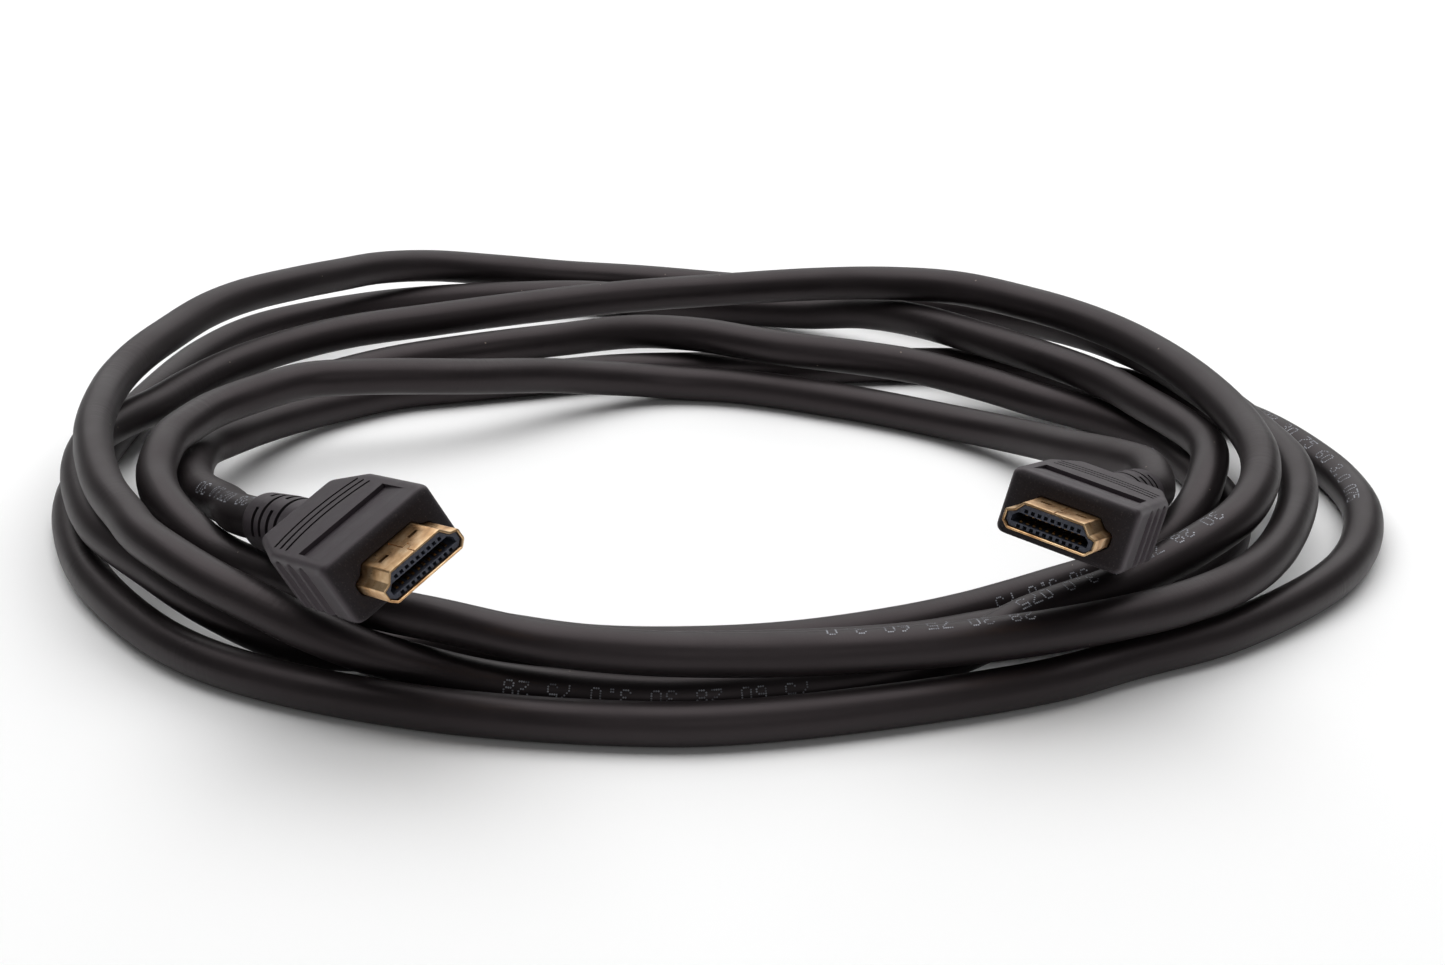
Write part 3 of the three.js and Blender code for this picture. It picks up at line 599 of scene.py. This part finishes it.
def shellRing(x, inset):
    corners, convex = mitreOffset(shellOutline, inset)
    radii = np.maximum(np.where(convex, shellRadii - inset, shellRadii + inset), shellSizes["leastRadius"])
    flat = cornerRound(corners, radii, shellSizes["cornerSteps"])
    return np.stack([np.full(len(flat), x), flat[:, 0], flat[:, 1] + shellSizes["rise"]], 1)


# Details of the body in millimetres, measured back from the front face and down from the top
grips = {"count": 3, "first": 8, "step": 4, "radius": 1.6, "outside": 0.5, "below": 2.1, "sides": 24,
         "domeTo": 1.5, "domeSteps": 7, "under": 1}
recess = {"front": 4.2, "back": 11, "half": 8, "depth": 0.6, "lineFrom": 11.3, "lineTo": 10.98,
          "lineDepth": 0.95}
bows = {"count": 3, "first": 15.6, "step": 2, "half": 8, "bend": 1.5, "halfGroove": 0.3, "depth": 0.6,
        "steps": 41}
slots = {"rows": 4, "first": 3.1, "step": 2.9, "halfLength": 0.55, "inner": 3.75, "outer": 6.4, "steps": 15,
         "long": {"count": 2, "opening": 140, "start": 90},
         "short": {"count": 4, "opening": 58, "start": 135}}
clear = 1  # mm that a cutter stands out of the surface


def blankBody():
    # rings of the outline, drawn in by edge (1 - sin t) at height edge (1 - cos t), joined to the relief
    h, edge, half, shoulder = body["height"], body["edge"], body["width"] / 2, body["shoulder"] / 2
    corners = [(0, -half), (0, half), (-body["straight"], half), (-body["length"], shoulder),
               (-body["length"], -shoulder), (-body["straight"], -half)]
    outline = cornerRound(corners, body["radii"], 9)
    rings = []
    for t in np.linspace(0, np.pi / 2, 8):
        flat = insetOutline(outline, edge * (1 - math.sin(t)))
        rings.append(np.column_stack([flat, np.full(len(flat), edge * (1 - math.cos(t)))]))
    rings += [np.column_stack([r[:, :2], h - r[:, 2]]) for r in rings[::-1]]
    block = tempObject("block", *loft(rings))
    r0, r1 = relief["radius"], relief["endRadius"]
    start = -body["length"] + relief["inside"]
    profile = [(start, r0 - relief["lead"]), (start - relief["lead"], r0),
               (-body["length"] - relief["straight"], r0), (-tail + relief["rounding"], r1),
               (-tail + 0.3 * relief["rounding"], r1 - 0.24 * relief["rounding"]),
               (-tail, r1 - relief["rounding"])]
    combine(block, tempObject("relief", *lathe(profile, relief["sides"], h / 2)), "UNION")
    return block


def gripCutters():
    # upright round grooves with domed tops
    h, r, n = body["height"], grips["radius"], grips["sides"]
    turn = np.arange(n) / n * 2 * np.pi
    domes = [(h - grips["below"] + r * math.sin(a), r * math.cos(a))
             for a in np.linspace(0, grips["domeTo"], grips["domeSteps"])]
    cutters = []
    for i in range(grips["count"]):
        x = -grips["first"] - grips["step"] * i
        for s in (-1, 1):
            y = s * (body["width"] / 2 + grips["outside"])
            cutters.append(loft([np.stack([x + np.cos(turn) * here, y + np.sin(turn) * here,
                                           np.full(n, z)], 1)
                                 for z, here in [(-grips["under"], r)] + domes]))
    return cutters


def recessCutters():
    # the sloped recess and the line at its step
    h, half = body["height"], recess["half"]
    front, back = -recess["front"], -recess["back"]
    slope = [(front, -half, h), (back, -half, h - recess["depth"]), (back, -half, h + clear),
             (front, -half, h + clear)]
    line = (-recess["lineFrom"], -recess["lineTo"], -half, half, h - recess["lineDepth"], h + clear)
    return [prismParts([(slope, np.array([0, 2.0 * half, 0]))]), boxParts([line])]


def bowCutters():
    # an arc of half width a and bend b has the radius (a a + b b) / (2 b)
    arcRadius = (bows["half"] ** 2 + bows["bend"] ** 2) / (2 * bows["bend"])
    swing = math.asin(bows["half"] / arcRadius)
    turn = np.linspace(np.pi - swing, np.pi + swing, bows["steps"])
    low = body["height"] - bows["depth"]
    cutters = []
    for i in range(bows["count"]):
        middle = -bows["first"] - bows["step"] * i - bows["bend"] + arcRadius
        far, near = ([(middle + r * math.cos(t), r * math.sin(t), low) for t in turn]
                     for r in (arcRadius + bows["halfGroove"], arcRadius - bows["halfGroove"]))
        cutters.append(prismParts([(far + near[::-1], np.array([0, 0, 2.0 * clear]))]))
    return cutters


def slotCutter():
    # two long arcs in rows 1 and 3, four short ones in rows 2 and 4
    parts = []
    for row in range(slots["rows"]):
        x = -body["length"] - slots["first"] - row * slots["step"] - slots["halfLength"]
        kind = slots["long"] if row % 2 == 0 else slots["short"]
        for i in range(kind["count"]):
            middle = kind["start"] + 360 / kind["count"] * i
            swing = kind["opening"] / 2
            turn = np.radians(np.linspace(middle - swing, middle + swing, slots["steps"]))
            far, near = ([(x, r * math.cos(t), body["height"] / 2 + r * math.sin(t)) for t in turn]
                         for r in (slots["outer"], slots["inner"]))
            parts.append((far + near[::-1], np.array([2 * slots["halfLength"], 0, 0])))
    return prismParts(parts)


def bodyMesh():
    block = blankBody()
    pocket = loft([shellRing(x, -shellSizes["pocketGap"]) for x in (-shellSizes["pocketDepth"], clear)])
    bore = lathe([(-tail - clear, relief["boreRadius"]), (-tail + relief["boreDepth"], relief["boreRadius"])],
                 relief["boreSides"], body["height"] / 2)
    cutAll(block, gripCutters() + [pocket, bore])
    # what is moulded so far gets its rounding here, and the crisp cuts come after it
    mod = block.modifiers.new("even", "REMESH")
    mod.mode = "VOXEL"
    mod.voxel_size = body["voxel"]
    mod = block.modifiers.new("soften", "SMOOTH")
    mod.factor = body["smoothing"]
    mod.iterations = body["passes"]
    applyAll(block)
    cutAll(block, recessCutters() + bowCutters() + [slotCutter()])
    return takeMesh(block)


def latchBoxes(below):
    x = shellSizes["reach"] - latch["back"]
    return [(x - latch["halfLength"], x + latch["halfLength"], s * latch["aside"] - latch["halfWidth"],
             s * latch["aside"] + latch["halfWidth"], shellTop - below, shellTop + clear) for s in (-1, 1)]


def shellMesh():
    # out along the outside, round the lip and back along the inside, closed at the hidden end
    reach, depth, wall = shellSizes["reach"], shellSizes["depth"], shellSizes["wall"]
    lip, lipMiddle, innerLip = shellSizes["lip"], shellSizes["lipMiddle"], shellSizes["innerLip"]
    rings = [shellRing(x, inset) for x, inset in (
        (-depth, 0), (reach - lip, 0), (reach - lipMiddle, lipMiddle), (reach, lip), (reach, wall - innerLip),
        (reach - innerLip, wall), (-depth, wall))]
    sides = len(rings[0])
    last = (len(rings) - 1) * sides
    faces = tubeFaces(len(rings), sides)[:-2]
    faces += [(last + j, last + (j + 1) % sides, (j + 1) % sides, j) for j in range(sides)]
    shell = tempObject("shell", np.concatenate(rings), faces)
    cutAll(shell, [boxParts(latchBoxes(latch["cut"]))])
    for start, end in zip(seam["line"][:-1], seam["line"][1:]):
        p, q = np.array(start), np.array(end)
        along = (q - p) / np.linalg.norm(q - p)
        across = np.array([-along[1], along[0]]) * seam["half"]
        p, q = p - along * seam["half"] * seam["overlap"], q + along * seam["half"] * seam["overlap"]
        base = [(*corner, shellTop - seam["depth"])
                for corner in (p + across, q + across, q - across, p - across)]
        cutAll(shell, [prismParts([(base, np.array([0, 0, 1.0 * clear]))])])
    return takeMesh(shell)


# Insulator in millimetres: face is how far it comes out, rows lie above and below the space's middle
insulator = {"face": 8.0, "gap": 0.06, "chamfer": 0.1, "middle": 1.95, "spaceDepth": 6.5, "rowRise": 1.18,
             "holeDepth": 1.2, "holeHalf": (0.29, 0.27), "channelHalf": 0.26, "channelFrom": 6.3,
             "channelTo": 0.55, "channelRise": 0.84, "rows": ((9, 1), (10, -1))}
spaceOutline = ((-5.8, -0.75), (5.8, -0.75), (5.8, 0.1), (5.1, 0.75), (-5.1, 0.75), (-5.8, 0.1))
middleZ = shellSizes["rise"] + insulator["middle"]


def placesAcross(count):
    # 1 mm apart, as many to the left as to the right
    return np.arange(count) - (count - 1) / 2


def insulatorMesh():
    face = insulator["face"]
    inset = shellSizes["wall"] + insulator["gap"]
    rings = [shellRing(x, by) for x, by in ((-shellSizes["depth"], inset), (face - insulator["chamfer"], inset),
                                            (face, inset + insulator["chamfer"]))]
    block = tempObject("insulator", *loft(rings))
    space = [(face + clear, y, middleZ + z) for y, z in spaceOutline]
    boxes = latchBoxes(latch["insulatorCut"])
    halfY, halfZ = insulator["holeHalf"]
    for count, s in insulator["rows"]:
        z = middleZ + s * insulator["rowRise"]
        low, high = sorted((middleZ, middleZ + s * insulator["channelRise"]))
        for y in placesAcross(count):
            boxes.append((face - insulator["holeDepth"], face + clear, y - halfY, y + halfY,
                          z - halfZ, z + halfZ))
            # channel of each contact, open into the space
            boxes.append((face - insulator["channelFrom"], face - insulator["channelTo"],
                          y - insulator["channelHalf"], y + insulator["channelHalf"], low, high))
    cutAll(block, [prismParts([(space, np.array([-insulator["spaceDepth"] - clear, 0, 0]))])])
    cutAll(block, [boxParts([box]) for box in boxes])
    return takeMesh(block)


# Contact in millimetres: (place along it, distance of its inner face from the middle of the space)
contact = {"half": 0.2, "thick": 0.18,
           "line": ((1.65, 0.50), (3.5, 0.50), (4.6, 0.44), (5.6, 0.28), (6.3, 0.26), (6.8, 0.36), (7.1, 0.52))}


def contactsMesh(count, s):
    # each contact is a strip along the wall with a bowed tip
    verts = []
    faces = []
    half = contact["half"]
    for y in placesAcross(count):
        rings = []
        for x, inner in contact["line"]:
            low, high = sorted([middleZ + s * inner, middleZ + s * (inner + contact["thick"])])
            rings.append(np.array([(x, y - half, low), (x, y + half, low),
                                   (x, y + half, high), (x, y - half, high)]))
        v, f = loft(rings)
        faces += [tuple(k + len(verts) for k in q) for q in f]
        verts += [tuple(p) for p in v]
    return fixWinding(cleanMesh("contacts", verts, faces))


# Where the moulding's two masks lie, in the plug's millimetres: the front face, painted darker as painted
# shade, and the hollows, painted near black as painted shade
masks = {"frontFade": (-0.9, -0.35), "topHalf": 8.4, "topFrom": 8.9, "bows": (-21.8, -13),
         "line": (-11.4, -10.95), "below": 0.06, "slots": (-43.0, -28.6), "slotBelow": 0.12}


def hollowFaces(mesh):
    # true for each face whose middle lies below the surface: in a groove, the step or a relief slot; these
    # faces get painted shade
    middle = np.empty(len(mesh.polygons) * 3)
    mesh.polygons.foreach_get("center", middle)
    x, y, z = middle.reshape(-1, 3).T
    sunk = (np.abs(y) < masks["topHalf"]) & (z > masks["topFrom"]) & (z < body["height"] - masks["below"])
    deep = np.zeros(len(x), bool)
    for back, front in (masks["bows"], masks["line"]):
        deep |= sunk & (x > back) & (x < front)
    reliefR = np.interp(x, [-tail + relief["rounding"], -body["length"] - relief["straight"]],
                        [relief["endRadius"], relief["radius"]])
    inSlots = (x > masks["slots"][0]) & (x < masks["slots"][1])
    return deep | inSlots & (np.hypot(y, z - body["height"] / 2) < reliefR - masks["slotBelow"])


def putPlugPiece(name, mesh, pose, look, cadNode, smoothAngle):
    # local millimetres are kept as an attribute, then the vertices go to the plug's place in metres
    made = mesh.copy()
    made.name = name
    local = np.empty(len(made.vertices) * 3, np.float32)
    made.vertices.foreach_get("co", local)
    made.attributes.new("localMm", "FLOAT_VECTOR", "POINT").data.foreach_set("vector", local)
    p = local.reshape(-1, 3)
    # front mask = 0 behind the first place and 1 ahead of the second, with a straight fade between
    front = np.interp(p[:, 0], masks["frontFade"], (0, 1)).astype(np.float32)
    made.attributes.new("frontMask", "FLOAT", "POINT").data.foreach_set("value", front)
    sides = np.empty(len(made.polygons), int)
    made.polygons.foreach_get("loop_total", sides)
    # painted shade mask: 1 on every corner of a face in a groove, the step line or a relief slot
    hollowShade = np.repeat(hollowFaces(made), sides).astype(np.float32)
    made.attributes.new("grooveShadeMask", "FLOAT", "CORNER").data.foreach_set("value", hollowShade)
    m = np.array(plugMatrix(pose))
    placed = p.astype(float) @ m[:3, :3].T + m[:3, 3]
    made.vertices.foreach_set("co", placed.astype(np.float32).reshape(-1))
    made.materials.clear()
    made.materials.append(look)
    made.polygons.foreach_set("use_smooth", np.full(len(made.polygons), True))
    made.set_sharp_from_angle(angle=math.radians(smoothAngle))
    made.update()
    obj = bpy.data.objects.new(name, made)
    scene.collection.objects.link(obj)
    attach(obj, "root")
    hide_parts(cadNode)
    return obj


bodyShape = bodyMesh()
print("stage: plug body", len(bodyShape.polygons), "faces")
shellShape = shellMesh()
insulatorShape = insulatorMesh()
print("stage: shell", len(shellShape.polygons), "insulator", len(insulatorShape.polygons))
# Piece, shape, look, slot, the node of the part that it replaces, sharpest smooth edge in degrees
plugPieces = [
    ("moulding", bodyShape, mouldingLook, "moulding", "body", 38),
    ("gold_shell", shellShape, goldLook, "gold_plate", "shell", 32),
    ("insert", insulatorShape, insulatorLook, "insulator", "insulator", 30),
    ("upper_row", contactsMesh(9, 1), contactLook, "contact_gold", "contacts_upper", 30),
    ("lower_row", contactsMesh(10, -1), contactLook, "contact_gold", "contacts_lower", 30),
]
for label, pose in plugPoses.items():
    [putPlugPiece(f"plug_{label}_{piece}", shape, pose, look,
                                 f"plug_{label}_{cadName}", angle)
                    for piece, shape, look, slot, cadName, angle in plugPieces]
print("stage: plugs")

# Floor and light: the paper is level to its edge and as pale far away, where the lights don't reach it
studio = {"half": 4, "drop": 0.0001, "paleFrom": 0.55, "paleTo": 1.7, "paleGlow": 0.95, "surround": 0.13}
floorMat, floorShader = newMaterial("studio_floor")
floorShader.inputs["Base Color"].default_value = grey(0.93)
floorShader.inputs["Roughness"].default_value = 0.7
floorShader.inputs["Specular IOR Level"].default_value = 0.2
floorShader.inputs["Emission Color"].default_value = grey(1.0)
floorHere = node(floorMat, "ShaderNodeTexCoord").outputs["Object"]
away = node(floorMat, "ShaderNodeVectorMath", {"operation": "LENGTH"}, {0: floorHere})
glow = node(floorMat, "ShaderNodeMapRange", links={0: away.outputs["Value"]}, From_Min=studio["paleFrom"],
            From_Max=studio["paleTo"], To_Min=0.0, To_Max=studio["paleGlow"])
floorMat.node_tree.links.new(glow.outputs[0], floorShader.inputs["Emission Strength"])
far = studio["half"]
floor = meshObject("floor", [(-far, -far, 0), (far, -far, 0), (far, far, 0), (-far, far, 0)], [(0, 1, 2, 3)],
                   floorMat, False)
floor.location.z = -studio["drop"]

world = bpy.data.worlds.new("studio")
world.use_nodes = True
world.node_tree.nodes["Background"].inputs[0].default_value = grey(1.0)
world.node_tree.nodes["Background"].inputs[1].default_value = studio["surround"]
scene.world = world
lights = {
    "top": {"at": (0.0, 0.2, 0.95), "look": (0, 0, 0), "size": (1.6, 1.2), "power": 14.0},
    "back": {"at": (0.0, 1.15, 0.6), "look": (0, 0, 0), "size": (1.8, 0.7), "power": 5.0},
    "front": {"at": (0.2, -1.0, 0.55), "look": (0, -0.05, 0.02), "size": (0.5, 0.3), "power": 1.1},
}
for name, light in lights.items():
    data = bpy.data.lights.new(name, "AREA")
    data.shape = "RECTANGLE"
    data.size, data.size_y = light["size"]
    data.energy = light["power"]
    lamp = bpy.data.objects.new(name, data)
    lamp.location = light["at"]
    lamp.visible_camera = False
    lamp.rotation_euler = (Vector(light["look"]) - Vector(light["at"])).to_track_quat("-Z", "Y").to_euler()
    scene.collection.objects.link(lamp)
scene.view_settings.view_transform = "Standard"
print("stage: studio")
